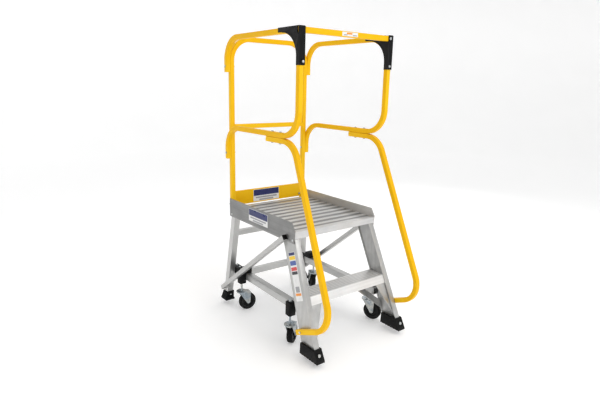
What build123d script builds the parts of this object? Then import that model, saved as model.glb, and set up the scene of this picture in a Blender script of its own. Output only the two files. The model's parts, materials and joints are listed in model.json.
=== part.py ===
from build123d import *
import os
from math import atan, degrees, hypot

os.makedirs("parts", exist_ok=True)

# Rolling warehouse ladder, in millimetres. +Z is up, +Y points away from the climber, +X is the climber's
# right. Heights below are measured from the soles of the feet. The empty ladder stands on its castors with
# the soles clear of the floor, and every part is written at that height, with the origin on the floor under
# the middle of the ladder.

# ---------------------------------------------------------------- driving dimensions
castor_lift = 25.0           # soles above the floor while the castors carry the ladder
deck_height = 572.0          # two rises of 286
side_splay = 0.06            # stiles and rear legs spread outwards, per mm downwards
leg_outer_at_deck = 260.2    # outer face of stiles and legs at deck height

stile_width = 30.0
stile_depth = 102.5          # horizontal; 94 square to the stile
stile_front_at_deck = -161.6
stile_rake = 0.431           # forwards, per mm downwards
stile_wall = 2.5
stile_corner = 3.0

leg_size = 38.0
leg_rear_at_deck = 426.3
leg_rake = 0.102             # backwards, per mm downwards
leg_corner = 2.5
tube_wall = 2.5
bore_corner = 1.0

panel_inner = 264.0
panel_thickness = 4.0
panel_bottom = 513.0
panel_top = 616.0
panel_rear = 443.0

deck_front = -182.0
deck_rear = 429.0
deck_depth = 34.0
deck_skin = 3.0
deck_rib_height = 4.0
rib_flank_starts = (0.24, 0.76)   # feet of a rib's flanks, as shares of its pitch
rib_crown = (0.32, 0.68)          # edges of its flat top
nosing_depth = 40.0
nosing_radius = 4.0
plank_count = 5
ribs_per_plank = 2

step_top = 277.0
step_depth = 39.0
step_front_recess = 4.5      # behind the stiles' front edge
step_length = 102.0          # front to back
step_half_width = 255.0
step_rib_height = 1.2
step_ribs = 7
step_top_flange = 12.0
step_heel_drop = 7.0

upper_rail_bottom = 396.0
upper_rail_height = 30.0
upper_rail_y = 425.0
lower_rail_bottom = 120.0
lower_rail_height = 38.0
lower_rail_y = 451.0
cross_rail_thickness = 25.0

side_rail_size = 38.0
side_rail_corner = 2.0
side_rail_bottom = 160.0
side_rail_front = -258.0
side_rail_rear = 466.0
side_rail_outer_front = 252.4
side_rail_outer_rear = 244.4

sleeve_front = 345.0
sleeve_thickness = 2.0
sleeve_bolt_ys = (409.0, 442.0)

brace_size = 25.0
brace_low = (303.6, 474.0, 70.0)
brace_high = (280.8, -118.0, 535.0)
plug_flange = 4.0

guard_size = 25.0
guard_wall = 2.0
guard_corner = 3.5
guard_bend = 115.0           # centre-line radius of every bend in the guard rails
guard_x = 248.5              # centre of the rear frame's uprights
guard_y = 442.0
guard_top = 1488.5
guard_bottom = 541.0
knee_bar_z = 1022.5

loop_x = 273.5
loop_front_y = -203.0
loop_top = 1486.5
loop_knee = 1022.0
loop_upper_end = 1313.0
loop_lower_end = 847.0

handrail_start_y = 45.0
handrail_lean = 0.0318       # outwards, per mm downwards
handrail_gap = 0.5           # clearance under the knee rail
handrail_offset_at_top = -355.0
handrail_offset_z = 566.0
handrail_corner_z = 209.0
handrail_foot_run = 262.7
handrail_bolt_ys = (4.0, -63.0)
handrail_foot_bolt = (-301.0, 120.0)   # Y and height
loop_bolt_heights = (1344.0, 880.0)

kick_front = 435.0
kick_thickness = 2.5
kick_bottom = 572.5
kick_top = 654.0
kick_return = 14.0
kick_bolt_x = 222.0
kick_bolt_z = 590.0

bracket_inner = 257.5
bracket_outer = 288.5
bracket_front = -219.0
bracket_top = 1500.5
bracket_bottom = 1337.0
bracket_arm_end = -55.0
bracket_arm_bottom = 1480.0
bracket_curve = (-88.0, 1371.5, 106.0)
bracket_wall = 3.5
bracket_pocket_floor = 1470.0
bracket_slot_width = 10.0
bracket_slot_heights = (1471.0, 1497.0)
bracket_bolt_x = 270.0
bracket_bolt_z = 1352.0
bracket_bolt_length = 12.0

gate_height = 25.0
gate_depth = 22.0
gate_z = 1484.0
gate_y = -204.0
gate_pivot_x = 268.0
gate_free_end = -281.0
gate_wall = 2.0
gate_pin_radius = 4.0
gate_pin_head = (7.0, 3.0)   # radius and height
gate_pin_tail = 12.0
running_clearance = 0.05

front_foot_x = (253.0, 301.0)
front_foot_floor = (-416.0, -283.0)
front_foot_height = 60.0
front_foot_skin = 5.4
front_foot_toe = 8.0
rear_foot_x = (253.0, 311.0)
rear_foot_floor = (425.0, 485.3)
rear_foot_height = 48.0
rear_foot_ledge = 9.0
rear_foot_waist = (12.0, 5.0, 7.0)   # height, and how far it draws in along X and Y
rear_foot_top = 46.0
foot_bolt_heights = {"front": 31.0, "rear": 27.0}
foot_bolt_head = 8.5
foot_sole = 6.0
tread_groove = 2.0

castor_front = (270.0, -160.0)
castor_rear = (265.0, 321.0)
# Degrees from +X that each castor trails towards.
castor_headings = {"front_left": 35.0, "front_right": 293.0, "rear_left": 353.0, "rear_right": 67.0}
housing_depth = 37.0
housing_width = 40.0
housing_bottom = 142.0
housing_top = 212.0
housing_chamfer = 5.0
housing_cavity_radius = 14.0
housing_cavity = (152.0, 204.0)
saddle_top = 231.0
housing_saddle_overlap = 8.0

stem_radius = 6.0
stem_nut_radius = 9.0
stem_nut_height = 8.0
stem_end = 5.0               # thread above the nut
collar_radius = 13.0
collar_low = 153.0
collar_height = 4.0
spring_wire = 1.8
spring_coil_radius = 10.0
spring_turns = 5.0

race_radius = 31.0
race_height = 6.5
race_edge = 2.5
yoke_top = 86.5
yoke_plate = 3.0
yoke_radius = 28.0
yoke_cup = 4.5               # lower race, pressed down under the head plate
yoke_cup_radius = 19.0
yoke_leg = 2.5
yoke_half_width = 20.0
yoke_front = 18.0            # of the legs, ahead of the stem
yoke_rear = 14.0             # of the legs and the head plate, behind the axle
yoke_boss = 11.0             # rounded end of a leg, round the axle
wheel_radius = 50.0
wheel_width = 30.0
wheel_edge = 7.0
wheel_trail = 34.5
axle_z = wheel_radius - castor_lift
tyre_depth = 14.0
axle_radius = 5.0
axle_head = (8.0, 4.0)       # radius and height
core_hub = 13.0
core_rim = 4.0
core_dish = 6.0

rivet_radius = 5.0
rivet_height = 2.0
rivet_shank = 3.0
bolt_shank = 3.0
bolt_head = 6.5
bolt_head_height = 4.5
label_thickness = 0.4

sides = {"left": -1, "right": 1}
deck_underside = deck_height - deck_depth


# ---------------------------------------------------------------- helpers
def save(name, *solids):
    """Write one sub-part, made of one or more solids, to its own file."""
    placed = [Pos(0, 0, castor_lift) * solid for solid in solids]
    export_step(placed[0] if len(placed) == 1 else Compound(children=placed), f"parts/{name}.step")


def on_side(shape, side):
    """The right-hand shape, or its mirror image for the left."""
    return shape if side > 0 else mirror(shape, about=Plane.YZ)


def block(x, y, z):
    """Box from (low, high) pairs."""
    size = [high - low for low, high in (x, y, z)]
    centre = [(high + low) / 2 for low, high in (x, y, z)]
    return Pos(*centre) * Box(*size)


def profile_yz(points, x_low, x_high):
    """Outline in Y and Z, given thickness along X."""
    face = Plane.YZ.offset(x_low) * make_face(Polyline(*points, close=True))
    return extrude(face, x_high - x_low)


def round_bar(start, end, radius):
    """Solid round bar between two points."""
    along = Vector(*end) - Vector(*start)
    return extrude(Plane(origin=start, z_dir=along) * Circle(radius), along.length)


def leg_outer(z):
    """Outer face of a stile or rear leg at height z."""
    return leg_outer_at_deck + side_splay * (deck_height - z)


def stile_front(z):
    """Front edge of a stile at height z."""
    return stile_front_at_deck - stile_rake * (deck_height - z)


def leg_rear(z):
    """Rear face of a rear leg at height z."""
    return leg_rear_at_deck + leg_rake * (deck_height - z)


def leaning_bar(x, y, lean, z_low, z_high, corner):
    """Straight bar of horizontal section x by y at z_low, leaning by (dx, dy) per mm upwards."""
    section = Pos((x[0] + x[1]) / 2, (y[0] + y[1]) / 2, z_low)
    face = section * RectangleRounded(x[1] - x[0], y[1] - y[0], corner)
    rise = z_high - z_low
    direction = Vector(lean[0] * rise, lean[1] * rise, rise)
    return extrude(face, direction.length, dir=direction.normalized())


def stile_bar(z_low, z_high, inset, corner):
    """Right-hand stile's outline, drawn in by inset on every side."""
    x = (leg_outer(z_low) - stile_width + inset, leg_outer(z_low) - inset)
    y = (stile_front(z_low) + inset, stile_front(z_low) + stile_depth - inset)
    return leaning_bar(x, y, (-side_splay, stile_rake), z_low, z_high, corner)


def leg_bar(z_low, z_high, inset, corner):
    """Right-hand rear leg's outline, drawn in by inset on every side."""
    x = (leg_outer(z_low) - leg_size + inset, leg_outer(z_low) - inset)
    y = (leg_rear(z_low) - leg_size + inset, leg_rear(z_low) - inset)
    return leaning_bar(x, y, (-side_splay, -leg_rake), z_low, z_high, corner)


def straight_tube(start, end, size, wall, across):
    """Square tube between two points, one pair of faces kept square to the direction across."""
    along = Vector(*end) - Vector(*start)
    plane = Plane(origin=start, x_dir=across - along * (across.dot(along) / along.length**2), z_dir=along)
    outer = extrude(plane * RectangleRounded(size, size, wall), along.length)
    return outer - extrude(plane * Rectangle(size - 2 * wall, size - 2 * wall), along.length)


def bent_bar(corners, size, corner_radius, across):
    """Square bar along straight runs joined by arcs of the guard rails' bend radius."""
    path = FilletPolyline(*corners, radius=guard_bend)
    plane = Plane(origin=path @ 0, x_dir=across, z_dir=path % 0)
    return sweep(plane * RectangleRounded(size, size, corner_radius), path=path)


def bent_tube(corners, across):
    """Guard-rail tube along straight runs and bends."""
    bore = guard_size - 2 * guard_wall
    hollow = bent_bar(corners, bore, guard_corner - guard_wall, across)
    return bent_bar(corners, guard_size, guard_corner, across) - hollow


def bolt(head, end, nut=True, head_radius=bolt_head):
    """Bolt from its head's seat to its end, with a hexagonal head and, if asked, a nut at the end."""
    along = (Vector(*end) - Vector(*head)).normalized()
    seat = Plane(origin=head, z_dir=-along)
    shank = round_bar(head, end, bolt_shank)
    cap = extrude(seat * RegularPolygon(head_radius, 6), bolt_head_height)
    if not nut:
        return shank + cap
    tail = Plane(origin=end, z_dir=along)
    return shank + cap + extrude(tail * RegularPolygon(bolt_head, 6), bolt_head_height)


def ribbed_profile(start, width, top, rib_count, rib_height, flange):
    """Closed outline of a ribbed sheet in Y and Z with a downward flange at each edge."""
    pitch = width / rib_count
    low = top - rib_height
    skin = deck_skin
    upper = [(start, low)]
    for rib in range(rib_count):
        base = start + rib * pitch
        upper += [(base + rib_flank_starts[0] * pitch, low), (base + rib_crown[0] * pitch, top)]
        upper += [(base + rib_crown[1] * pitch, top), (base + rib_flank_starts[1] * pitch, low)]
    upper += [(start + width, low)]
    lower = [(y, z - skin) for y, z in upper[1:-1]]
    right = [(start + width, flange), (start + width - skin, flange), (start + width - skin, low - skin)]
    left = [(start + skin, low - skin), (start + skin, flange), (start, flange)]
    return upper + right + lower[::-1] + left


# ---------------------------------------------------------------- stiles, legs and side panels
def make_stile():
    body = stile_bar(foot_sole, deck_underside, 0, stile_corner)
    return body - stile_bar(foot_sole, deck_underside, stile_wall, bore_corner)


def make_leg():
    body = leg_bar(foot_sole, deck_underside, 0, leg_corner)
    return body - leg_bar(foot_sole, deck_underside, tube_wall, bore_corner)


def make_panel():
    front = [(deck_front + 24, panel_top), (deck_front - 1, 576.0), (deck_front + 3, 537.0)]
    bottom = [(deck_front + 5, panel_bottom), (panel_rear - 3, panel_bottom), (panel_rear, panel_bottom + 6)]
    outline = front + bottom + [(panel_rear, panel_top)]
    return profile_yz(outline, panel_inner, panel_inner + panel_thickness)


stile_outline = stile_bar(-1.0, deck_underside, 0, stile_corner)
leg_outline = leg_bar(-1.0, deck_underside, 0, leg_corner)
leg_pair = [on_side(leg_outline, side) for side in sides.values()]
stile_pair = [on_side(stile_outline, side) for side in sides.values()]

rivet_points = [(418.0, 528.0), (442.0, 584.0), (-167.0, 529.5)]


def make_rivet(y, z):
    face = panel_inner + panel_thickness
    head = Pos(face, y, z) * Rot(0, 90, 0) * Cylinder(rivet_radius, 2 * rivet_height)
    shank = round_bar((face + rivet_height, y, z), (leg_outer_at_deck - 3, y, z), rivet_shank)
    return (head & block((face, face + rivet_height), (y - 9, y + 9), (z - 9, z + 9))) + shank


rivets = [on_side(make_rivet(y, z), side) for y, z in rivet_points for side in sides.values()]


# ---------------------------------------------------------------- platform and step
def make_planks():
    start = deck_front + nosing_depth
    width = (deck_rear - start) / plank_count
    planks = []
    for index in range(plank_count):
        outline = ribbed_profile(
            start + index * width, width, deck_height, ribs_per_plank, deck_rib_height, deck_underside
        )
        planks.append(profile_yz(outline, -panel_inner, panel_inner))
    return planks


def make_nosing():
    outline = ribbed_profile(deck_front, nosing_depth, deck_height, 1, deck_rib_height, deck_underside)
    lip = block((-panel_inner, panel_inner), (deck_front, deck_front + 10), (deck_height - 12, deck_height))
    nose = profile_yz(outline, -panel_inner, panel_inner) + lip
    corner = nose.edges().filter_by(Axis.X).sort_by(lambda e: e.center().Z - e.center().Y)[-1]
    return fillet(corner, nosing_radius)


def make_step():
    front = stile_front(step_top) + step_front_recess
    low = step_top - step_depth
    slope = stile_rake * step_depth
    back = front + step_length
    skin = deck_skin
    heel_top = step_top - step_heel_drop
    ribs = ribbed_profile(front, step_length, step_top, step_ribs, step_rib_height, step_top - step_top_flange)
    nose = [(front, step_top), (front + 2 * skin, step_top), (front + skin - slope, low), (front - slope, low)]
    heel = [(back, heel_top), (back - skin, heel_top), (back - skin - slope, low), (back - slope, low)]
    tread = profile_yz(ribs, -step_half_width, step_half_width)
    for outline in (nose, heel):
        tread += profile_yz(outline, -step_half_width, step_half_width)
    limits = block((-step_half_width, step_half_width), (front - slope, back), (low, step_top))
    return cut(tread & limits, stile_pair)


def cut(shape, tools):
    """Shape less every tool."""
    for tool in tools:
        shape = shape - tool
    return shape


def raked_plane(recess):
    """Plane parallel to the stiles' front, recess behind it; local y runs up the slope from the floor."""
    slope = hypot(1, stile_rake)
    normal = Vector(0, -1, stile_rake).normalized()
    start = Vector(0, stile_front(0), 0) - normal * recess
    start = start + Vector(0, stile_rake, 1) * (-start.Z)
    return Plane(origin=start, x_dir=(1, 0, 0), z_dir=normal), slope


def raked_plate(points, recess, thickness):
    """Plate with its outline in X and height Z, lying parallel to the stiles' front."""
    plane, slope = raked_plane(recess)
    outline = [(x, z * slope) for x, z in points]
    plate = extrude(plane * make_face(Polyline(*outline, close=True)), -thickness)
    return cut(plate, [stile_outline, step_envelope])


def make_step_envelope():
    """Block that the step and everything above it fills."""
    return block((-300, 300), (-420, 0), (step_top - step_depth, deck_height))


step_envelope = make_step_envelope()
step_underside = step_top - step_depth
gusset_points = [(185.0, step_underside), (255.0, step_underside), (265.0, 100.0), (253.0, 100.0)]
knee_brace_points = [(262.0, 78.0), (262.0, 121.0), (122.0, step_underside), (72.0, step_underside)]


# ---------------------------------------------------------------- rails
def make_cross_rail(y, bottom, height):
    """Box tube between the rear legs, its ends coped to them."""
    half = leg_outer(bottom)
    outer = block((-half, half), (y - cross_rail_thickness / 2, y + cross_rail_thickness / 2),
                  (bottom, bottom + height))
    inner = block((-half, half),
                  (y - cross_rail_thickness / 2 + tube_wall, y + cross_rail_thickness / 2 - tube_wall),
                  (bottom + tube_wall, bottom + height - tube_wall))
    rail = cut(outer - inner, leg_pair)
    return rail.solids().sort_by(lambda s: s.volume)[-1]


side_rail_toe = (side_rail_outer_front - side_rail_outer_rear) / (side_rail_rear - side_rail_front)


def side_rail_outer(y):
    """Outer face of the right-hand side rail, which toes out towards the front."""
    return side_rail_outer_front - side_rail_toe * (y - side_rail_front)


def side_rail_shape(y_low, y_high, grow):
    """Part of the right-hand side rail's run, its section grown by an amount on every side."""
    centre = (side_rail_outer(y_low) - side_rail_size / 2, y_low, side_rail_bottom + side_rail_size / 2)
    size = side_rail_size + 2 * grow
    plane = Plane(origin=centre, x_dir=(1, 0, 0), z_dir=(0, 1, 0))
    run = Vector(-side_rail_toe, 1, 0) * (y_high - y_low)
    return extrude(plane * RectangleRounded(size, size, side_rail_corner), run.length, dir=run.normalized())


def make_side_rail():
    solid = side_rail_shape(side_rail_front, side_rail_rear, 0)
    hollow = side_rail_shape(side_rail_front, side_rail_rear, -tube_wall)
    return cut(solid - hollow, [stile_outline, leg_outline] + sleeve_bolts)


def make_sleeve():
    """Black sleeve round the rear end of a side rail."""
    outer = side_rail_shape(sleeve_front, side_rail_rear + 1, sleeve_thickness)
    inner = side_rail_shape(sleeve_front - 1, side_rail_rear + 2, 0)
    sleeve = cut(outer - inner, [leg_outline, lower_rail_envelope] + sleeve_bolts)
    return sleeve.solids().sort_by(lambda s: s.volume)[-1]


lower_rail_envelope = block(
    (-panel_inner, panel_inner),
    (lower_rail_y - cross_rail_thickness / 2, lower_rail_y + cross_rail_thickness / 2),
    (lower_rail_bottom, lower_rail_bottom + lower_rail_height),
)
sleeve_top = side_rail_bottom + side_rail_size + sleeve_thickness
sleeve_bolt_x = side_rail_outer_rear - side_rail_size / 2
sleeve_bolts = [bolt((sleeve_bolt_x, y, sleeve_top), (sleeve_bolt_x, y, sleeve_top - 12), nut=False)
                for y in sleeve_bolt_ys]


def make_brace():
    low, high = Vector(*brace_low), Vector(*brace_high)
    return straight_tube(low, high, brace_size, tube_wall, Vector(1, 0, 0))


def make_plug():
    """Square end plug in the brace's upper end, its flange flush with the tube's sides."""
    low, high = Vector(*brace_low), Vector(*brace_high)
    along = (high - low).normalized()
    across = Vector(1, 0, 0) - along * along.X
    flange = extrude(Plane(high, across, along) * RectangleRounded(brace_size, brace_size, 2.0), plug_flange)
    body_size = brace_size - 2 * tube_wall
    body = extrude(Plane(high, across, along) * Rectangle(body_size, body_size), -15)
    return flange + body


# ---------------------------------------------------------------- guard rails
along_x = Vector(1, 0, 0)
along_y = Vector(0, 1, 0)
half_guard = guard_size / 2


def make_guard_frame():
    corners = [(-guard_x, guard_y, guard_bottom), (-guard_x, guard_y, guard_top),
               (guard_x, guard_y, guard_top), (guard_x, guard_y, guard_bottom)]
    return bent_tube(corners, along_y)


def make_knee_bar():
    half = guard_x - half_guard
    return straight_tube((-half, guard_y, knee_bar_z), (half, guard_y, knee_bar_z), guard_size, guard_wall,
                         along_y)


loop_corners = [
    (loop_x, guard_y, loop_upper_end), (loop_x, guard_y, loop_top), (loop_x, loop_front_y, loop_top),
    (loop_x, loop_front_y, loop_knee), (loop_x, guard_y, loop_knee), (loop_x, guard_y, loop_lower_end),
]


def make_handrail():
    """Handrail under the knee rail, bowed forwards down to the stile, leaning outwards all the way."""
    top = loop_knee - guard_size - handrail_gap
    bend_y = handrail_offset_at_top + stile_rake * (top - handrail_offset_z)
    corner_y = handrail_offset_at_top + stile_rake * (handrail_corner_z - handrail_offset_z)
    slope = hypot(1, stile_rake)
    foot_y = corner_y + handrail_foot_run / slope
    foot_z = handrail_corner_z - handrail_foot_run * stile_rake / slope
    corners = [(0, handrail_start_y, 0), (0, bend_y, 0), (0, corner_y, handrail_corner_z - top),
               (0, foot_y, foot_z - top)]
    return Pos(loop_x, 0, top) * Rot(0, -degrees(atan(handrail_lean)), 0) * bent_tube(corners, along_x)


def make_guard_bolts():
    """Right-hand bolts: upright to loop ends, knee rail to handrail, handrail foot to stile."""
    bolts = []
    for z in loop_bolt_heights:
        bolts.append(bolt((loop_x + half_guard, guard_y, z), (guard_x - half_guard, guard_y, z)))
    for y in handrail_bolt_ys:
        top = loop_knee + half_guard
        bolts.append(bolt((loop_x, y, top), (loop_x + 1.0, y, top - 2 * guard_size - 1.0)))
    y, z = handrail_foot_bolt
    outer = loop_x + handrail_lean * (loop_knee - guard_size - z) + half_guard + 0.3
    bolts.append(bolt((outer, y, z), (leg_outer(z) - stile_wall - 1.0, y, z), nut=False))
    return bolts


guard_bolts = make_guard_bolts()
bracket_bolt = bolt((bracket_bolt_x, bracket_front, bracket_bolt_z),
                    (bracket_bolt_x, bracket_front + bracket_bolt_length, bracket_bolt_z), nut=False)


def make_kick_board():
    half = guard_x - half_guard
    back = kick_front + kick_thickness
    plate = block((-half, half), (kick_front, back), (kick_bottom, kick_top))
    for low in (kick_bottom, kick_top - kick_thickness):
        plate += block((-half, half), (kick_front, kick_front + kick_return), (low, low + kick_thickness))
    return plate


kick_bolts = [bolt((side * kick_bolt_x, kick_front, kick_bolt_z),
                   (side * kick_bolt_x, kick_front + kick_thickness, kick_bolt_z)) for side in sides.values()]


# ---------------------------------------------------------------- corner brackets and gate
loop_outline = bent_bar(loop_corners, guard_size, guard_corner, along_x)


def bracket_pocket(side_wall):
    """Space for the gate bar at the top front corner of a right-hand bracket, open upwards and inwards."""
    reach = bracket_outer - side_wall
    y = (bracket_front + bracket_wall, gate_y + gate_depth / 2 + 0.5)
    return block((bracket_inner - 1, reach), y, (bracket_pocket_floor, bracket_top + 1))


def make_bracket():
    curve_y, curve_z, curve_radius = bracket_curve
    rear_y = curve_y - curve_radius
    outline = [(bracket_front, bracket_bottom), (bracket_front, bracket_top - bracket_wall),
               (bracket_front + bracket_wall, bracket_top), (bracket_arm_end, bracket_top),
               (bracket_arm_end, bracket_arm_bottom), (rear_y, bracket_arm_bottom), (rear_y, bracket_bottom)]
    body = profile_yz(outline, bracket_inner, bracket_outer)
    # The inner corner is rounded: everything under the arm and behind the post, outside the arc, stays filled.
    corner = block((bracket_inner, bracket_outer), (rear_y, curve_y), (curve_z, bracket_arm_bottom))
    arc = Pos((bracket_inner + bracket_outer) / 2, curve_y, curve_z) * Rot(0, 90, 0)
    body += corner - arc * Cylinder(curve_radius, 2 * (bracket_outer - bracket_inner))
    body = body - loop_outline - bracket_pocket(bracket_wall + 0.5)
    slot_y = (gate_y - bracket_slot_width / 2, gate_y + bracket_slot_width / 2)
    slot = block((bracket_outer - bracket_wall - 2, bracket_outer + 1), slot_y, bracket_slot_heights)
    return (body - slot - bracket_bolt).solids().sort_by(lambda s: s.volume)[-1]


def make_gate_pin():
    """Pivot pin along Y, its head on the bracket's front face."""
    front = (gate_pivot_x, bracket_front, gate_z)
    rear = (gate_pivot_x, gate_y + gate_depth / 2 + gate_pin_tail, gate_z)
    head_radius, head_height = gate_pin_head
    head = extrude(Plane(front, z_dir=(0, -1, 0)) * Circle(head_radius), head_height)
    return head + round_bar(front, rear, gate_pin_radius)


def make_gate():
    """Flat bar with a rounded pivot end."""
    y = (gate_y - gate_depth / 2, gate_y + gate_depth / 2)
    z = (gate_z - gate_height / 2, gate_z + gate_height / 2)
    bar = block((gate_free_end, gate_pivot_x), y, z)
    eye = Pos(gate_pivot_x, gate_y, gate_z) * Rot(90, 0, 0) * Cylinder(gate_height / 2, gate_depth)
    inner = block((gate_free_end + gate_wall, gate_pivot_x - gate_height), (y[0] + gate_wall, y[1] - gate_wall),
                  (z[0] + gate_wall, z[1] - gate_wall))
    hole = Pos(gate_pivot_x, gate_y, gate_z) * Rot(90, 0, 0)
    return bar + eye - inner - hole * Cylinder(gate_pin_radius + running_clearance, 2 * gate_depth)


# ---------------------------------------------------------------- feet
def make_front_foot():
    """Wedge-shaped boot round the foot of a stile, ribbed under its sole."""
    front = stile_front(front_foot_height) - front_foot_skin
    toe, heel = front_foot_floor
    outline = [(toe, 0), (heel, 0), (heel - 3, front_foot_height - 3), (front, front_foot_height),
               (toe, front_foot_toe)]
    body = profile_yz(outline, *front_foot_x)
    body = body - stile_bar(foot_sole, front_foot_height + 10, 0, stile_corner)
    return cut(body, sole_grooves(front_foot_x, front_foot_floor, 7) + [foot_bolts["front"]])


def sole_grooves(x, y, count):
    """Grooves across the underside of a foot."""
    pitch = (y[1] - y[0]) / count
    starts = [y[0] + (index + 0.35) * pitch for index in range(count)]
    return [block((x[0] - 1, x[1] + 1), (start, start + 0.3 * pitch), (-1, tread_groove)) for start in starts]


def make_rear_foot():
    """Boot round the foot of a rear leg, flared towards the floor."""
    x_mid, y_mid = sum(rear_foot_x) / 2, sum(rear_foot_floor) / 2
    width, length = rear_foot_x[1] - rear_foot_x[0], rear_foot_floor[1] - rear_foot_floor[0]
    top_x = leg_outer(rear_foot_height) - leg_size / 2
    top_y = leg_rear(rear_foot_height) - leg_size / 2
    base = Pos(x_mid, y_mid, 0) * Rectangle(width, length)
    ledge = Pos(x_mid, y_mid, rear_foot_ledge) * Rectangle(width, length)
    waist_z, waist_x, waist_y = rear_foot_waist
    waist = Pos(x_mid, (y_mid + top_y) / 2, waist_z) * Rectangle(width - waist_x, length - waist_y)
    top = Pos(top_x, top_y, rear_foot_height) * Rectangle(rear_foot_top, rear_foot_top)
    body = loft([base, ledge], ruled=True) + loft([ledge, waist], ruled=True) + loft([waist, top], ruled=True)
    body = body - leg_bar(foot_sole, rear_foot_height + 10, 0, leg_corner)
    return cut(body, sole_grooves(rear_foot_x, rear_foot_floor, 4) + [foot_bolts["rear"]])


def make_foot_bolts():
    """One bolt through the front of each boot into its leg."""
    plane, slope = raked_plane(0)
    z = foot_bolt_heights["front"]
    x = leg_outer(z) - stile_width / 2
    seat = plane.from_local_coords(Vector(x, z * slope, front_foot_skin + 0.6))
    tail = plane.from_local_coords(Vector(x, z * slope, -3 * stile_wall))
    front = bolt(tuple(seat), tuple(tail), nut=False, head_radius=foot_bolt_head)
    z = foot_bolt_heights["rear"]
    x = leg_outer(z) - leg_size / 2
    y = leg_rear(z) - leg_size
    return {"front": front, "rear": bolt((x, y - 5.5, z), (x, y + 6, z), nut=False)}


foot_bolts = make_foot_bolts()


# ---------------------------------------------------------------- castors
def make_housing(x, y, rail_outer, saddle):
    """Black moulded housing on the outside of a side rail, bored for the castor's stem."""
    body = block((rail_outer, rail_outer + housing_depth), (y - housing_width / 2, y + housing_width / 2),
                 (housing_bottom, housing_top))
    body = chamfer(body.edges().filter_by(Axis.Z).group_by(Axis.X)[-1], housing_chamfer)
    if saddle:
        rail_inner = rail_outer - side_rail_size
        body += block((rail_inner, rail_outer + housing_saddle_overlap),
                      (y - housing_width / 2, y + housing_width / 2), (sleeve_top - sleeve_thickness, saddle_top))
    low, high = housing_cavity
    cavity = Pos(x, y, (low + high) / 2) * Cylinder(housing_cavity_radius, high - low)
    bore = Pos(x, y, housing_top) * Cylinder(stem_radius + running_clearance, 2 * housing_top)
    return body - cavity - bore


def make_spring(x, y):
    """Compression spring between the stem's collar and the top of the housing's cavity."""
    low = collar_low + collar_height + spring_wire
    high = housing_cavity[1] - spring_wire
    path = Helix((high - low) / spring_turns, high - low, spring_coil_radius)
    plane = Plane(origin=path @ 0, z_dir=path % 0)
    return Pos(x, y, low) * sweep(plane * Circle(spring_wire * 0.9), path=path)


def make_stem(x, y):
    """Threaded stem with its collar, its top nut on the housing and the fixed half of the swivel race."""
    nut_low = housing_top + running_clearance
    top = nut_low + stem_nut_height + stem_end
    rod = round_bar((x, y, yoke_top), (x, y, top), stem_radius)
    collar = Pos(x, y, collar_low + collar_height / 2) * Cylinder(collar_radius, collar_height)
    nut = extrude(Pos(x, y, nut_low) * RegularPolygon(stem_nut_radius, 6), stem_nut_height)
    race = Pos(x, y, yoke_top + race_height / 2) * Cylinder(race_radius, race_height)
    race = fillet(race.edges().group_by(Axis.Z)[-1], race_edge)
    return rod + collar + nut + race


def make_fork(x, y, heading):
    """Pressed yoke: a round head plate under the race, and two tapered legs that trail back to the axle."""
    head_low = yoke_top - yoke_plate
    leg_top = yoke_top - running_clearance
    rear = wheel_trail + yoke_rear
    plate = Pos(0, 0, head_low + yoke_plate / 2) * Cylinder(yoke_radius, yoke_plate)
    plate += block((0, rear), (-yoke_half_width, yoke_half_width), (head_low, leg_top))
    plate += Pos(0, 0, head_low - yoke_cup / 2) * Cylinder(yoke_cup_radius, yoke_cup)
    # From the head's front, back over the wheel, down to the axle, and up again to the front.
    outline = [(-yoke_front, head_low), (-yoke_front, leg_top), (rear, leg_top), (rear, head_low),
               (wheel_trail + yoke_boss, axle_z), (wheel_trail - 0.8 * yoke_boss, axle_z - 0.6 * yoke_boss)]
    half = yoke_half_width
    axle = round_bar((wheel_trail, -half, axle_z), (wheel_trail, half, axle_z), axle_radius)
    fork = plate
    for side in (-1, 1):
        face = Plane(origin=(0, side * yoke_half_width, 0), x_dir=(1, 0, 0), z_dir=(0, -1, 0))
        fork += extrude(face * make_face(Polyline(*outline, close=True)), yoke_leg * side)
        leg_end = Pos(wheel_trail, side * (yoke_half_width - yoke_leg / 2), axle_z) * Rot(90, 0, 0)
        fork += leg_end * Cylinder(yoke_boss, yoke_leg)
        head_radius, head_height = axle_head
        axle_end = Pos(wheel_trail, side * (yoke_half_width + head_height / 2), axle_z) * Rot(90, 0, 0)
        axle += axle_end * Cylinder(head_radius, head_height)
    turn = Pos(x, y, 0) * Rot(0, 0, heading)
    return turn * (fork - axle), turn * axle


def wheel_place(x, y, heading):
    """Location of a wheel's centre, its local Z along the axle."""
    return Pos(x, y, 0) * Rot(0, 0, heading) * Pos(wheel_trail, 0, axle_z) * Rot(90, 0, 0)


def make_tyre(place):
    ring = Cylinder(wheel_radius, wheel_width) - Cylinder(wheel_radius - tyre_depth, wheel_width)
    rims = ring.edges().filter_by(GeomType.CIRCLE).filter_by(lambda e: e.radius > wheel_radius - 1)
    return place * fillet(rims, wheel_edge)


def make_core(place):
    """Dished wheel centre, its face recessed on both sides round a hub."""
    radius = wheel_radius - tyre_depth
    core = Cylinder(radius, wheel_width)
    dish = Cylinder(radius - core_rim, core_dish) - Cylinder(core_hub, core_dish)
    for side in (-1, 1):
        core = core - Pos(0, 0, side * (wheel_width - core_dish) / 2) * dish
    return place * (core - Cylinder(axle_radius + running_clearance, wheel_width + 2))


# ---------------------------------------------------------------- labels
def make_labels():
    """Blank label plates: one on the left panel, one on the kick board."""
    panel_face = panel_inner + panel_thickness
    panel_label = block((-panel_face - label_thickness, -panel_face), (50, 233), (537, 604))
    kick_label = block((-114, 67), (kick_front - label_thickness, kick_front), (579, 649))
    return [panel_label, kick_label]


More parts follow.
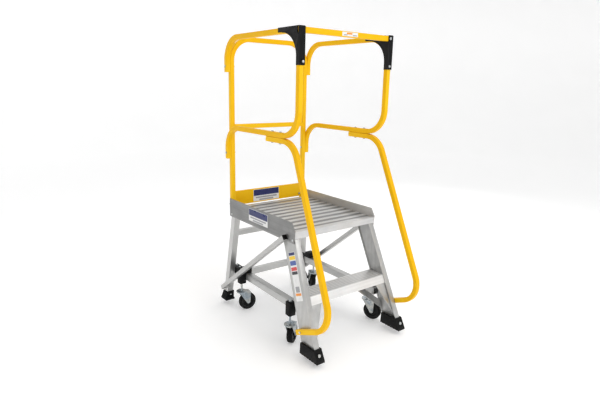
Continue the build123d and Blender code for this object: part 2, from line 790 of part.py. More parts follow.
# ---------------------------------------------------------------- write every sub-part
for name, side in sides.items():
    save(f"front_stile_{name}", on_side(cut(make_stile(), guard_bolts + rivets + [foot_bolts["front"]]), side))
    save(f"rear_leg_{name}", on_side(cut(make_leg(), rivets + [foot_bolts["rear"]]), side))
    save(f"side_panel_{name}", on_side(cut(make_panel(), rivets), side))
    save(f"side_rail_{name}", on_side(make_side_rail(), side))
    save(f"diagonal_brace_{name}", on_side(make_brace(), side))
    save(f"side_loop_{name}", on_side(cut(bent_tube(loop_corners, along_x), guard_bolts + [bracket_bolt]), side))
    save(f"handrail_{name}", on_side(cut(make_handrail(), guard_bolts), side))

save("deck_planks", *make_planks())
save("deck_nosing", make_nosing())
save("step_tread", make_step())
save("step_gussets", *[on_side(raked_plate(gusset_points, 7.0, 3.0), side) for side in sides.values()])
save("knee_braces", *[on_side(raked_plate(knee_brace_points, 86.0, 4.0), side) for side in sides.values()])
save("rear_cross_rail_upper", make_cross_rail(upper_rail_y, upper_rail_bottom, upper_rail_height))
save("rear_cross_rail_lower", make_cross_rail(lower_rail_y, lower_rail_bottom, lower_rail_height))
save("rail_end_sleeves", *[on_side(make_sleeve(), side) for side in sides.values()])
save("brace_plugs", *[on_side(make_plug(), side) for side in sides.values()])
save("front_feet", *[on_side(make_front_foot(), side) for side in sides.values()])
save("rear_feet", *[on_side(make_rear_foot(), side) for side in sides.values()])
small_bolts = list(foot_bolts.values()) + sleeve_bolts
save("foot_bolts", *[on_side(b, side) for b in small_bolts for side in sides.values()])
save("frame_rivets", *rivets)
all_guard_bolts = [on_side(b, side) for b in guard_bolts for side in sides.values()]
bracket_bolts = [on_side(bracket_bolt, side) for side in sides.values()]
save("rear_guard_frame", cut(make_guard_frame(), all_guard_bolts + rivets))
save("rear_knee_bar", make_knee_bar())
save("kick_board", cut(make_kick_board(), kick_bolts))
save("guard_bolts", *all_guard_bolts, *bracket_bolts, *kick_bolts)
save("corner_bracket_left", on_side(make_bracket(), -1))
save("corner_bracket_right", make_bracket() - make_gate_pin())
save("gate_pivot_pin", make_gate_pin())
save("gate_bar", make_gate())
save("label_plates", *make_labels())

for corner, heading in castor_headings.items():
    where = castor_front if corner.startswith("front") else castor_rear
    side = sides[corner.split("_")[1]]
    x, y = where[0] * side, where[1]
    housing = make_housing(*where, side_rail_outer(where[1] - housing_width / 2), corner.startswith("rear"))
    save(f"castor_housing_{corner}", on_side(housing, side))
    save(f"castor_spring_{corner}", make_spring(x, y))
    save(f"castor_stem_{corner}", make_stem(x, y))
    save(f"castor_fork_{corner}", *make_fork(x, y, heading))
    save(f"castor_tyre_{corner}", make_tyre(wheel_place(x, y, heading)))
    save(f"castor_core_{corner}", make_core(wheel_place(x, y, heading)))
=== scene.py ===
import json
import math

import bmesh
import bpy
from mathutils import Matrix, Vector


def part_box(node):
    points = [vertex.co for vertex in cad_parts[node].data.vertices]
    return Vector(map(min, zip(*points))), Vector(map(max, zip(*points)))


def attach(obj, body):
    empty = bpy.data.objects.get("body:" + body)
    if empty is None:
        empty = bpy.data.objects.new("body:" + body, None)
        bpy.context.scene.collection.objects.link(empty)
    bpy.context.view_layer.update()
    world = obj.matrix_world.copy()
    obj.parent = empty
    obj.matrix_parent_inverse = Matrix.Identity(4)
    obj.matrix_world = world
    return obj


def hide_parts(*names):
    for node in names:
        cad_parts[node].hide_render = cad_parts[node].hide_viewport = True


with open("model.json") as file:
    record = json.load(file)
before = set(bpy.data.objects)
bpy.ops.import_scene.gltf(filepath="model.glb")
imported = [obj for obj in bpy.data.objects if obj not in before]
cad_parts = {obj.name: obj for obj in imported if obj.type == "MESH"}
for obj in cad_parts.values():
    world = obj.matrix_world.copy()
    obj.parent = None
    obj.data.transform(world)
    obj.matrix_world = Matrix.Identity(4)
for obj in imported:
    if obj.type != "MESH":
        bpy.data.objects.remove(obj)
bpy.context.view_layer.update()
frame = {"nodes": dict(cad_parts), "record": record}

MM = 0.001
NODES = frame["nodes"]
SLOT_OF = {part["node"]: part["material_slot"] for part in frame["record"]["subparts"]}
BODY_OF = {name: body for body, names in frame["record"]["behaviour"]["bodies"].items() for name in names}

# Sizes that the CAD boxes don't give.
STILE_WIDTH = 30.0 * MM
STILE_DEPTH = 102.5 * MM
STILE_LIP = 5.0 * MM
STILE_RECESS = 7.0 * MM
STILE_EDGE = 0.8              # rounding, in millimetres
DECK_RIB = 4.0 * MM
STEP_RIB = 1.2 * MM
LABEL_SKIN = 0.35 * MM


# ---------------------------------------------------------------- material helpers
class Nodes:
    """A material's node tree, with short calls for the nodes used here.

    Texture space is the ladder's own, in metres.
    """

    def __init__(self, name):
        self.material = bpy.data.materials.new(name)
        self.material.use_nodes = True
        self.tree = self.material.node_tree
        self.shader = self.tree.nodes["Principled BSDF"]
        self.place = self.add("ShaderNodeTexCoord").outputs["Object"]

    def add(self, kind, **settings):
        node = self.tree.nodes.new(kind)
        for key, value in settings.items():
            setattr(node, key, value)
        return node

    def link(self, source, target):
        self.tree.links.new(source, target)

    def scaled(self, scale):
        """The texture place stretched by a factor along each axis."""
        mapping = self.add("ShaderNodeMapping")
        mapping.inputs["Scale"].default_value = scale
        self.link(self.place, mapping.inputs["Vector"])
        return mapping.outputs["Vector"]

    def noise(self, scale, detail=4.0, roughness=0.55, stretch=None):
        node = self.add("ShaderNodeTexNoise")
        node.inputs["Scale"].default_value = scale
        node.inputs["Detail"].default_value = detail
        node.inputs["Roughness"].default_value = roughness
        self.link(self.scaled(stretch) if stretch else self.place, node.inputs["Vector"])
        return node.outputs["Fac"]

    def fit(self, value, low, high, start=0.3, end=0.7):
        """Map the span from start to end to the range from low to high, with soft limits."""
        node = self.add("ShaderNodeMapRange", interpolation_type="SMOOTHSTEP")
        node.inputs["From Min"].default_value = start
        node.inputs["From Max"].default_value = end
        node.inputs["To Min"].default_value = low
        node.inputs["To Max"].default_value = high
        self.link(value, node.inputs["Value"])
        return node.outputs["Result"]

    def mix(self, factor, first, second):
        """Colour between two colours, or between a socket and a colour."""
        node = self.add("ShaderNodeMix", data_type="RGBA")
        self.link(factor, node.inputs[0])
        for socket, value in ((node.inputs[6], first), (node.inputs[7], second)):
            if isinstance(value, tuple):
                socket.default_value = (*value, 1.0)
            else:
                self.link(value, socket)
        return node.outputs[2]

    def math(self, operation, first, second):
        node = self.add("ShaderNodeMath", operation=operation)
        for socket, value in zip(node.inputs, (first, second)):
            if isinstance(value, (int, float)):
                socket.default_value = value
            else:
                self.link(value, socket)
        return node.outputs[0]

    def bump(self, height, strength, distance, after=None):
        node = self.add("ShaderNodeBump")
        node.inputs["Strength"].default_value = strength
        node.inputs["Distance"].default_value = distance
        self.link(height, node.inputs["Height"])
        if after is not None:
            self.link(after, node.inputs["Normal"])
        return node.outputs["Normal"]

    def height(self):
        """Height above the floor, in metres."""
        node = self.add("ShaderNodeSeparateXYZ")
        self.link(self.place, node.inputs[0])
        return node.outputs["Z"]

    def edges(self, sharpness=1.0):
        """1 on convex edges, 0 on flats, from the mesh's own curvature; the materials paint their edge
        highlights with it.
        """
        point = self.add("ShaderNodeNewGeometry").outputs["Pointiness"]
        return self.fit(point, 0.0, sharpness, 0.51, 0.60)

    def finish(self, colour=None, roughness=None, normal=None, **fixed):
        """Connect what varies and set what doesn't, straight on the shader."""
        for socket, value in (("Base Color", colour), ("Roughness", roughness), ("Normal", normal)):
            if value is None:
                continue
            if isinstance(value, (int, float)):
                self.shader.inputs[socket].default_value = value
            elif isinstance(value, tuple):
                self.shader.inputs[socket].default_value = (*value, 1.0)
            else:
                self.link(value, self.shader.inputs[socket])
        for socket, value in fixed.items():
            self.shader.inputs[socket.replace("_", " ")].default_value = value
        return self.material


# Stretch of a texture that draws it out along one axis, as extrusion and rolling do.
GRAIN = {"x": (0.02, 1.0, 1.0), "y": (1.0, 0.02, 1.0), "z": (1.0, 1.0, 0.02)}


def toned(factor, colour):
    """A colour made darker or lighter by a factor, within white."""
    return tuple(min(1.0, factor * channel) for channel in colour)


def aluminium(name, axis, dark, light, metallic, rough, ribs=None):
    """Mill-finish extrusion: die lines along one axis, soft cloudy oxide, faint scuffs, and a painted highlight
    on convex edges.

    ribs gives the heights of a ribbed tread's valleys and crowns, and how much darker the valley floors are
    painted, as painted shade.
    """
    n = Nodes(name)
    lines = n.noise(420.0, 3.0, 0.6, GRAIN[axis])
    broad = n.noise(60.0, 2.0, 0.5, GRAIN[axis])
    cloud = n.noise(7.0, 5.0, 0.6)
    scuff = n.noise(95.0, 8.0, 0.75, (1.0, 1.0, 0.35))
    tone = n.mix(n.fit(cloud, 0.0, 1.0, 0.35, 0.7), dark, light)
    streaked = n.mix(n.fit(broad, 0.0, 0.30, 0.35, 0.75), tone, toned(0.72, dark))
    # painted shade: on a tread, the valley floors are darkened toward the dark tone
    if ribs:
        valley, crown, painted_valley_shade = ribs
        in_rib = n.fit(n.height(), 1.0, 0.0, valley, crown)
        in_floor = n.fit(n.height(), 0.0, 1.0, valley - 0.5 * MM, valley - 0.1 * MM)
        streaked = n.mix(n.math("MULTIPLY", in_rib, in_floor), streaked, toned(painted_valley_shade, dark))
    worn = n.mix(n.fit(scuff, 0.0, 0.35, 0.60, 0.74), streaked, toned(1.12, light))
    # painted highlight: convex edges are lightened toward a bright tone
    painted_edge_highlight = n.mix(n.edges(0.6), worn, toned(1.2, light))
    gloss = n.math("ADD", n.fit(lines, rough - 0.06, rough + 0.07), n.fit(cloud, -0.04, 0.06))
    normal = n.bump(lines, 0.10, 0.0004, n.bump(cloud, 0.08, 0.002))
    return n.finish(painted_edge_highlight, gloss, normal, Metallic=metallic, Anisotropic=0.35)


def powder_coat(name):
    """Satin powder coat: orange peel, slow colour drift, a little grime and a painted highlight on the convex
    edges.
    """
    n = Nodes(name)
    drift = n.noise(5.0, 4.0, 0.55)
    peel = n.noise(520.0, 2.0, 0.5)
    fine = n.noise(1600.0, 2.0, 0.5)
    grime = n.noise(26.0, 7.0, 0.7)
    base = n.mix(n.fit(drift, 0.0, 1.0, 0.3, 0.7), (0.87, 0.475, 0.002), (0.93, 0.52, 0.003))
    dirty = n.mix(n.fit(grime, 0.0, 0.22, 0.60, 0.78), base, (0.60, 0.31, 0.004))
    # painted highlight: a brighter yellow on the convex edges
    coat_edge_highlight = n.mix(n.edges(0.35), dirty, (1.0, 0.66, 0.03))
    gloss = n.fit(grime, 0.36, 0.48, 0.35, 0.7)
    normal = n.bump(peel, 0.16, 0.0006, n.bump(fine, 0.05, 0.0002))
    return n.finish(coat_edge_highlight, gloss, normal, Specular_IOR_Level=0.12)


def black_moulding(name, colour, rough, grain, grain_depth, dust):
    """Black plastic or rubber: moulded grain, uneven sheen, pale dust in the wear and a painted highlight on
    the convex edges.
    """
    n = Nodes(name)
    texture = n.noise(grain, 3.0, 0.6)
    patch = n.noise(14.0, 5.0, 0.6)
    wear = n.noise(70.0, 8.0, 0.75)
    base = n.mix(n.fit(patch, 0.0, 1.0, 0.3, 0.7), colour, tuple(1.5 * c + 0.001 for c in colour))
    dusty = n.mix(n.fit(wear, 0.0, dust, 0.52, 0.78), base, (0.07, 0.068, 0.065))
    # painted highlight: convex edges lightened to grey
    moulding_edge_highlight = n.mix(n.edges(0.30), dusty, (0.045, 0.045, 0.045))
    gloss = n.fit(patch, rough - 0.07, rough + 0.10, 0.3, 0.7)
    normal = n.bump(texture, 0.22, grain_depth, n.bump(wear, 0.06, 0.0006))
    return n.finish(moulding_edge_highlight, gloss, normal, Specular_IOR_Level=0.10)


def zinc(name):
    """Bright zinc plate: faint blue and straw clouding, brushed haze, small dull pits and a painted highlight
    on the convex edges.
    """
    n = Nodes(name)
    cloud = n.noise(22.0, 5.0, 0.6)
    pits = n.noise(260.0, 4.0, 0.65)
    haze = n.noise(90.0, 3.0, 0.6)
    tint = n.mix(n.fit(cloud, 0.0, 1.0, 0.35, 0.65), (0.32, 0.37, 0.41), (0.50, 0.50, 0.47))
    dull = n.mix(n.fit(pits, 0.0, 0.55, 0.62, 0.75), tint, (0.33, 0.34, 0.35))
    # painted highlight: convex edges brightened toward near white
    painted_edge_highlight = n.mix(n.edges(0.6), dull, (0.80, 0.82, 0.83))
    gloss = n.fit(haze, 0.20, 0.40, 0.3, 0.7)
    return n.finish(painted_edge_highlight, gloss, n.bump(pits, 0.12, 0.0003), Metallic=0.95)


def vinyl(name, colour):
    """Printed vinyl: slight fading, fine dirt and an uneven gloss."""
    n = Nodes(name)
    fade = n.noise(18.0, 4.0, 0.6)
    dirt = n.noise(120.0, 7.0, 0.7)
    base = n.mix(n.fit(fade, 0.0, 0.25, 0.3, 0.75), colour, tuple(0.85 * c + 0.06 for c in colour))
    dirty = n.mix(n.fit(dirt, 0.0, 0.22, 0.60, 0.78), base, (0.25, 0.24, 0.22))
    return n.finish(dirty, n.fit(fade, 0.24, 0.42, 0.3, 0.7), n.bump(fade, 0.05, 0.0004))


def tread_ribs(node, rib, painted_valley_shade):
    """Heights of a ribbed tread's valleys and crowns, from its top face and the height of its ribs, and the
    darkening of the painted valley shade.
    """
    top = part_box(node)[1].z
    return top - rib, top - 0.25 * rib, painted_valley_shade


# Grain axis, dark tone, light tone, metalness, roughness and, on a tread, its ribs with their painted valley
# shade.
ALUMINIUM = {
    "rail_aluminium": ("y", (0.36, 0.36, 0.355), (0.50, 0.50, 0.49), 0.85, 0.38),
    "leg_aluminium": ("z", (0.40, 0.40, 0.395), (0.56, 0.56, 0.55), 0.85, 0.38),
    "sheet_aluminium": ("y", (0.46, 0.455, 0.44), (0.60, 0.595, 0.58), 0.55, 0.42),
    # painted shade: a darker copy of the sheet for the left side panel, which lies in shade
    "shaded_sheet": ("y", (0.22, 0.22, 0.218), (0.31, 0.31, 0.305), 0.80, 0.42),
    "cross_aluminium": ("x", (0.42, 0.42, 0.415), (0.56, 0.56, 0.55), 0.85, 0.38),
    "deck_aluminium": ("x", (0.58, 0.585, 0.59), (0.70, 0.705, 0.71), 0.65, 0.40,
                       tread_ribs("deck_planks", DECK_RIB, 0.42)),
    "nosing_aluminium": ("x", (0.56, 0.565, 0.57), (0.68, 0.685, 0.69), 0.65, 0.40),
    "tread_aluminium": ("x", (0.74, 0.74, 0.735), (0.86, 0.86, 0.85), 0.45, 0.42,
                        tread_ribs("step_tread", STEP_RIB, 0.75)),
}

# Colour, roughness, how fine and how deep the moulded grain is, and how much dust it holds.
MOULDED = {
    "black_plastic": ((0.003, 0.003, 0.0033), 0.48, 900.0, 0.0002, 0.08),
    "black_rubber": ((0.005, 0.005, 0.0053), 0.62, 500.0, 0.0004, 0.16),
    "castor_tyre": ((0.005, 0.005, 0.005), 0.58, 650.0, 0.0003, 0.20),
    "castor_core": ((0.009, 0.009, 0.0095), 0.45, 800.0, 0.0002, 0.16),
}

VINYL = {
    "label_white": (0.84, 0.84, 0.83),
    "label_navy": (0.008, 0.016, 0.12),
    "label_blue": (0.07, 0.12, 0.38),
    "label_red": (0.72, 0.06, 0.06),
    "label_orange": (0.90, 0.32, 0.03),
    "label_yellow": (0.93, 0.62, 0.02),
    "label_grey": (0.36, 0.36, 0.38),
    "label_black": (0.03, 0.03, 0.035),
}

MATERIALS = {name: aluminium(name, *values) for name, values in ALUMINIUM.items()}
MATERIALS["yellow_powder_coat"] = powder_coat("yellow_powder_coat")
MATERIALS.update({name: black_moulding(name, *values) for name, values in MOULDED.items()})
MATERIALS["zinc_plate"] = zinc("zinc_plate")
MATERIALS.update({name: vinyl(name, colour) for name, colour in VINYL.items()})

# Aluminium nodes by the start of their names, and the material whose grain follows their length.
ALUMINIUM_OF = {
    "front_stile": "leg_aluminium", "rear_leg": "leg_aluminium", "step_gussets": "leg_aluminium",
    "knee_braces": "leg_aluminium", "rear_cross_rail": "cross_aluminium", "step_tread": "tread_aluminium",
    # painted shade: the left side panel takes the darker copy of the sheet
    "side_panel_left": "shaded_sheet", "side_panel_right": "sheet_aluminium",
}


def by_name(table, node, otherwise=None):
    """What a table of the starts of names gives for a node."""
    return next((value for start, value in table.items() if node.startswith(start)), otherwise)


def finish_of(node):
    """The material that a CAD node takes."""
    slot = SLOT_OF[node]
    if slot == "mill_aluminium":
        return MATERIALS[by_name(ALUMINIUM_OF, node, "rail_aluminium")]
    if node == "deck_nosing":
        return MATERIALS["nosing_aluminium"]
    return MATERIALS["label_white" if slot == "label_film" else slot]


# ---------------------------------------------------------------- mesh helpers
def place_piece(name, mesh, material, body):
    """Put a finished mesh in the scene as a piece of the object."""
    piece = bpy.data.objects.new(name, mesh)
    bpy.context.scene.collection.objects.link(piece)
    mesh.materials.clear()
    mesh.materials.append(MATERIALS[material] if isinstance(material, str) else material)
    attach(piece, body)
    return piece


def apply_modifiers(piece):
    """Bake the modifiers into the mesh, so that the mesh itself holds what is seen."""
    bpy.context.view_layer.update()
    evaluated = piece.evaluated_get(bpy.context.evaluated_depsgraph_get())
    mesh = bpy.data.meshes.new_from_object(evaluated)
    piece.modifiers.clear()
    piece.data = mesh


def prism(name, rings):
    """Closed mesh through rings of points, all of them with the same number, capped at both ends."""
    work = bmesh.new()
    rings = [[work.verts.new(point) for point in ring] for ring in rings]
    count = len(rings[0])
    for low, high in zip(rings, rings[1:]):
        for i in range(count):
            work.faces.new((low[i], low[(i + 1) % count], high[(i + 1) % count], high[i]))
    work.faces.new(rings[0][::-1])
    work.faces.new(rings[-1])
    bmesh.ops.recalc_face_normals(work, faces=work.faces)
    mesh = bpy.data.meshes.new(name)
    work.to_mesh(mesh)
    work.free()
    return mesh


def smooth(mesh):
    for polygon in mesh.polygons:
        polygon.use_smooth = True


def round_edges(piece, width):
    """Round a piece's hard edges off, by a width in millimetres."""
    bevel = piece.modifiers.new("edges", "BEVEL")
    bevel.width = width * MM
    bevel.segments = 3
    bevel.limit_method = "ANGLE"
    bevel.angle_limit = math.radians(32)
    bevel.use_clamp_overlap = True
    apply_modifiers(piece)
    smooth(piece.data)
    piece.data.set_sharp_from_angle(angle=math.radians(40))


def soften(node, width):
    """Stand-in for a CAD node, the same shape with its hard edges rounded off."""
    source = NODES[node]
    mesh = source.data.copy()
    mesh.name = node + "_softened"
    work = bmesh.new()
    work.from_mesh(mesh)
    bmesh.ops.remove_doubles(work, verts=work.verts, dist=0.02 * MM)
    bmesh.ops.dissolve_limit(work, angle_limit=math.radians(0.6), verts=work.verts, edges=work.edges)
    work.to_mesh(mesh)
    work.free()
    piece = place_piece(node + "_softened", mesh, finish_of(node), BODY_OF[node])
    round_edges(piece, width)
    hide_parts(node)


def rounded_plate(name, origin, across, up, size, radius, material, body):
    """Thin printed plate with rounded corners: origin is its centre, across and up lie in the face below."""
    thickness = LABEL_SKIN
    across, up = Vector(across).normalized(), Vector(up).normalized()
    out = across.cross(up)
    half_w, half_h = size[0] / 2, size[1] / 2
    outline = []
    for quarter, (sx, sy) in enumerate(((1, 1), (-1, 1), (-1, -1), (1, -1))):
        centre = (sx * (half_w - radius), sy * (half_h - radius))
        for step in range(5):
            angle = math.radians(90 * quarter + 22.5 * step)
            outline.append((centre[0] + radius * math.cos(angle), centre[1] + radius * math.sin(angle)))
    rings = []
    for inset, depth in ((0.0, 0.0), (0.0, 0.7 * thickness), (0.3 * thickness, thickness)):
        wide, tall = across * (1 - inset / half_w), up * (1 - inset / half_h)
        rings.append([Vector(origin) + wide * u + tall * v + out * depth for u, v in outline])
    return place_piece(name, prism(name, rings), material, body)


# ---------------------------------------------------------------- CAD nodes: materials, or softened stand-ins
# Width in millimetres of the rounding on the edges of nodes, by the start of their names.
SOFTENED = {
    "side_panel": 0.9, "kick_board": 0.9, "corner_bracket": 1.8, "castor_housing": 1.8, "front_feet": 1.6,
    "rear_feet": 1.4, "gate_bar": 1.6, "rail_end_sleeves": 0.8, "brace_plugs": 1.0, "castor_fork": 0.7,
    "deck_planks": 1.1, "deck_nosing": 0.9, "step_tread": 0.9, "step_gussets": 0.6, "knee_braces": 0.8,
    "castor_stem": 0.5, "guard_bolts": 0.8, "foot_bolts": 0.7, "gate_pivot_pin": 0.8,
}

for node, obj in NODES.items():
    width = by_name(SOFTENED, node)
    if width:
        soften(node, width)
    elif not node.startswith("front_stile"):
        obj.data.materials.clear()
        obj.data.materials.append(finish_of(node))


# ---------------------------------------------------------------- front stiles: stand-ins with a recessed face
def stile_frame(node):
    """Lower front outer corner of a stile, its direction, and the sign of X towards the middle."""
    low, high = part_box(node)
    rise = high.z - low.z
    rake = (high.y - low.y - STILE_DEPTH) / rise
    splay = (high.x - low.x - STILE_WIDTH) / rise
    if low.x < 0:
        return Vector((low.x, low.y, low.z)), Vector((splay, rake, 1.0)), 1
    return Vector((high.x, low.y, low.z)), Vector((-splay, rake, 1.0)), -1


def channelled_stile(node):
    """Stand-in for a stile: the inner face lies back between a front and a rear lip, as in the extrusion."""
    corner, direction, inward = stile_frame(node)
    width, depth, web = STILE_WIDTH, STILE_DEPTH, STILE_WIDTH - STILE_RECESS
    outline = [(0.0, 0.0), (width, 0.0), (width, STILE_LIP), (web, STILE_LIP), (web, depth - STILE_LIP),
               (width, depth - STILE_LIP), (width, depth), (0.0, depth)]
    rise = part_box(node)[1].z - corner.z
    rings = []
    for centre in (corner, corner + direction * rise):
        rings.append([centre + Vector((inward * x, y, 0.0)) for x, y in outline])
    mesh = prism(node + "_channelled", rings)
    piece = place_piece(node + "_channelled", mesh, "leg_aluminium", BODY_OF[node])
    round_edges(piece, STILE_EDGE)
    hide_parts(node)


for node in ("front_stile_left", "front_stile_right"):
    channelled_stile(node)


# ---------------------------------------------------------------- labels: blank colour blocks, no lettering
SIDE, UPWARD = Vector((1.0, 0.0, 0.0)), Vector((0.0, 0.0, 1.0))


def label_boxes():
    """Boxes of the two label plates: the one on the side panel first, then the one on the kick board."""
    coords = [v.co for v in NODES["label_plates"].data.vertices]
    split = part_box("side_panel_left")[1].x + 5 * MM
    boxes = []
    for group in ([c for c in coords if c.x < split], [c for c in coords if c.x >= split]):
        boxes.append((Vector([min(c[i] for c in group) for i in range(3)]),
                      Vector([max(c[i] for c in group) for i in range(3)])))
    return boxes


def two_tone_label(name, box, across):
    """The white plate in the CAD model carries a navy upper band and two plain bars below."""
    low, high = box
    centre = (low + high) / 2
    out = across.cross(UPWARD)
    face = max(low.dot(out), high.dot(out))
    width, height = abs((high - low).dot(across)), high.z - low.z
    origin = centre + out * (face - centre.dot(out))
    band, bar = 0.56 * height, 0.13 * height
    rounded_plate(name + "_band", origin + UPWARD * (height - band) / 2, across, UPWARD,
                  (width - 4 * MM, band - 3 * MM), 2 * MM, "label_navy", "ladder_frame")
    for row, share in enumerate((0.82, 0.55)):
        rounded_plate(f"{name}_bar_{row}", origin - UPWARD * (0.19 + 0.20 * row) * height, across, UPWARD,
                      (share * width, bar), 1 * MM, "label_grey", "ladder_frame")


panel_plate, kick_plate = label_boxes()
two_tone_label("panel_label", panel_plate, Vector((0.0, -1.0, 0.0)))
two_tone_label("kick_label", kick_plate, SIDE)

base, stile_up, _ = stile_frame("front_stile_left")
up = stile_up.normalized()
normal = Vector((-1.0, 0.0, stile_up.x)).normalized()
across = up.cross(normal).normalized()

# The blocks of the label column on the stile: height above the floor and length in millimetres, share of the
# column's width, and colour.
COLUMN = [
    (484, 14, 1.0, "label_navy"), (466, 18, 1.0, "label_yellow"), (443, 22, 1.0, "label_blue"),
    (417, 17, 0.95, "label_red"), (399, 15, 0.95, "label_black"), (326, 28, 0.65, "label_grey"),
    (304, 12, 0.90, "label_orange"),
]
COLUMN_WIDTH = 52 * MM
COLUMN_TOP, COLUMN_BOTTOM = 492 * MM, 275 * MM
COLUMN_OFFSET = 0.50          # middle of the column, as a share of the stile's depth
COLUMN_LIFT = 0.05 * MM       # clear of the stile's face


def on_stile(z):
    """Centre of the label column on the stile's outer face at height z."""
    along = (z - base.z) / stile_up.z
    front = base + stile_up * along
    return front + Vector((0, COLUMN_OFFSET * STILE_DEPTH, 0)) + normal * COLUMN_LIFT


middle = on_stile((COLUMN_TOP + COLUMN_BOTTOM) / 2)
length = (COLUMN_TOP - COLUMN_BOTTOM) / up.z
rounded_plate("stile_label", middle, across, up, (COLUMN_WIDTH, length), 3 * MM, "label_white", "ladder_frame")
for index, (z, height, share, colour) in enumerate(COLUMN):
    size = (share * (COLUMN_WIDTH - 4 * MM), height * MM)
    rounded_plate(f"stile_label_block_{index}", on_stile(z * MM) + normal * LABEL_SKIN, across, up, size,
                  1.5 * MM, colour, "ladder_frame")

# The gate bar's label: its ends along the bar, and the blocks printed on it, each with its name, middle, size
# and colour, in millimetres from the label's centre.
GATE_LABEL = (-45 * MM, 52 * MM)
GATE_LABEL_HEIGHT = 18 * MM
GATE_BLOCKS = [
    ("gate_label_block", (-4, 3), (34, 8), "label_orange"),
    ("gate_label_bar_0", (-28, -4), (22, 4), "label_grey"),
    ("gate_label_bar_1", (30, -4), (26, 4), "label_grey"),
]
gate_low, gate_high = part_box("gate_bar")
gate_centre = Vector((sum(GATE_LABEL) / 2, gate_low.y, (gate_low.z + gate_high.z) / 2))
gate_label_size = (GATE_LABEL[1] - GATE_LABEL[0], GATE_LABEL_HEIGHT)
rounded_plate("gate_label", gate_centre, SIDE, UPWARD, gate_label_size, 2 * MM, "label_white", "gate")
for name, (x, z), (width, height), colour in GATE_BLOCKS:
    rounded_plate(name, gate_centre + Vector((x * MM, -LABEL_SKIN, z * MM)), SIDE, UPWARD,
                  (width * MM, height * MM), 1 * MM, colour, "gate")


# ---------------------------------------------------------------- floor, light and camera
WHITE = (1.0, 1.0, 1.0, 1.0)

# Place, point it faces, width and height in metres, and power in watts.
LIGHTS = {
    "key": ((1.1, -3.4, 3.4), (0.0, 0.0, 0.7), (2.6, 2.2), 52.0),
    "top": ((0.0, 0.6, 4.2), (0.0, 0.0, 0.6), (3.0, 3.0), 24.0),
    "rim": ((3.2, 1.6, 2.2), (0.0, 0.0, 0.8), (1.6, 2.4), 12.0),
}

# Direction of the studio air's bright side, the span along it in which the air grows brighter, and its strength
# at the two ends of that span.
BRIGHT_SIDE = (0.72, -0.38, 0.58)
AIR_SPAN = (-0.7, 0.45)
AIR_STRENGTH = (0.05, 0.66)

# Place in metres; heading, downward tilt and roll in degrees; focal length and sensor width in millimetres.
CAMERA_PLACE = (-1.5812, -1.9352, 1.2765)
CAMERA_TURN = (37.407, 13.335, 1.229)
CAMERA_LENS, CAMERA_SENSOR = 28.98, 36.0


def build_stage():
    """A pale floor that curves up all round into a plain backdrop, far from the ladder."""
    flat, sweep, wall = 7.0, 2.2, 5.6
    sweep_steps, turns = 12, 96
    profile = [(0.35 * flat, 0.0), (0.7 * flat, 0.0), (flat, 0.0)]
    for step in range(1, sweep_steps + 1):
        angle = math.radians(90 * step / sweep_steps)
        profile.append((flat + sweep * math.sin(angle), sweep * (1 - math.cos(angle))))
    profile.append((flat + sweep, wall))
    angles = [2 * math.pi * turn / turns for turn in range(turns)]
    work = bmesh.new()
    centre = work.verts.new((0.0, 0.0, 0.0))
    rings = []
    for radius, height in profile:
        rings.append([work.verts.new((radius * math.cos(a), radius * math.sin(a), height)) for a in angles])
    for turn in range(turns):
        following = (turn + 1) % turns
        work.faces.new((centre, rings[0][turn], rings[0][following]))
        for inner, outer in zip(rings, rings[1:]):
            work.faces.new((inner[turn], outer[turn], outer[following], inner[following]))
    mesh = bpy.data.meshes.new("floor")
    work.to_mesh(mesh)
    work.free()
    smooth(mesh)
    floor = bpy.data.objects.new("floor", mesh)
    bpy.context.scene.collection.objects.link(floor)
    n = Nodes("floor_paint")
    speckle = n.noise(3.0, 3.0, 0.5)
    colour = n.mix(n.fit(speckle, 0.0, 1.0, 0.3, 0.7), (0.94, 0.94, 0.94), (0.96, 0.96, 0.96))
    paint = n.finish(colour, 0.8, None, Specular_IOR_Level=0.1, Emission_Color=WHITE, Emission_Strength=0.22)
    mesh.materials.append(paint)


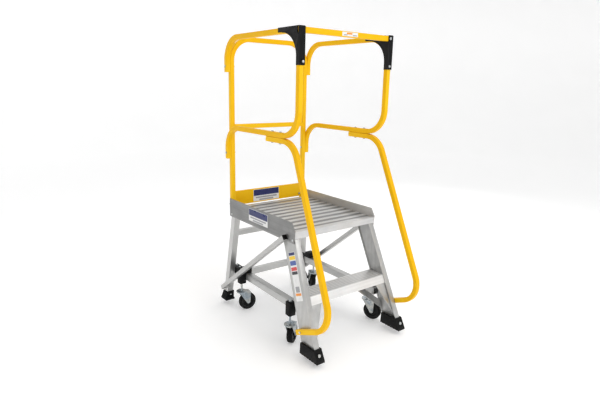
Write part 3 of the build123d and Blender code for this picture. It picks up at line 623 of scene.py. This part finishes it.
def area_light(name, place, target, size, power):
    data = bpy.data.lights.new(name, "AREA")
    data.shape = "RECTANGLE"
    data.size, data.size_y = size
    data.energy = power
    lamp = bpy.data.objects.new(name, data)
    lamp.location = place
    lamp.rotation_euler = (Vector(target) - Vector(place)).to_track_quat("-Z", "Y").to_euler()
    bpy.context.scene.collection.objects.link(lamp)


def build_world():
    """White studio air, dimmer to the climber's left, so that the two sides of each tube read apart."""
    world = bpy.data.worlds.new("studio")
    world.use_nodes = True
    bpy.context.scene.world = world
    tree = world.node_tree
    place = tree.nodes.new("ShaderNodeTexCoord").outputs["Generated"]
    dot = tree.nodes.new("ShaderNodeVectorMath")
    dot.operation = "DOT_PRODUCT"
    dot.inputs[1].default_value = BRIGHT_SIDE
    tree.links.new(place, dot.inputs[0])
    ramp = tree.nodes.new("ShaderNodeMapRange")
    ramp.interpolation_type = "SMOOTHSTEP"
    ramp.inputs["From Min"].default_value, ramp.inputs["From Max"].default_value = AIR_SPAN
    ramp.inputs["To Min"].default_value, ramp.inputs["To Max"].default_value = AIR_STRENGTH
    tree.links.new(dot.outputs["Value"], ramp.inputs["Value"])
    tree.links.new(ramp.outputs["Result"], tree.nodes["Background"].inputs["Strength"])
    tree.nodes["Background"].inputs["Color"].default_value = WHITE


def build_camera():
    """Viewpoint to the left of the climbing side, a little above the platform."""
    yaw, pitch, roll = (math.radians(angle) for angle in CAMERA_TURN)
    forward = Vector((math.sin(yaw) * math.cos(pitch), math.cos(yaw) * math.cos(pitch), -math.sin(pitch)))
    level = Vector((math.cos(yaw), -math.sin(yaw), 0.0))
    raised = level.cross(forward)
    side = level * math.cos(roll) + raised * math.sin(roll)
    top = raised * math.cos(roll) - level * math.sin(roll)
    data = bpy.data.cameras.new("camera")
    data.lens, data.sensor_width = CAMERA_LENS, CAMERA_SENSOR
    camera = bpy.data.objects.new("camera", data)
    turn = Matrix((side, top, -forward)).transposed()
    camera.matrix_world = Matrix.Translation(CAMERA_PLACE) @ turn.to_4x4()
    bpy.context.scene.collection.objects.link(camera)
    bpy.context.scene.camera = camera


build_stage()
build_world()
for name, values in LIGHTS.items():
    area_light(name, *values)
build_camera()
bpy.context.scene.view_settings.view_transform = "Standard"
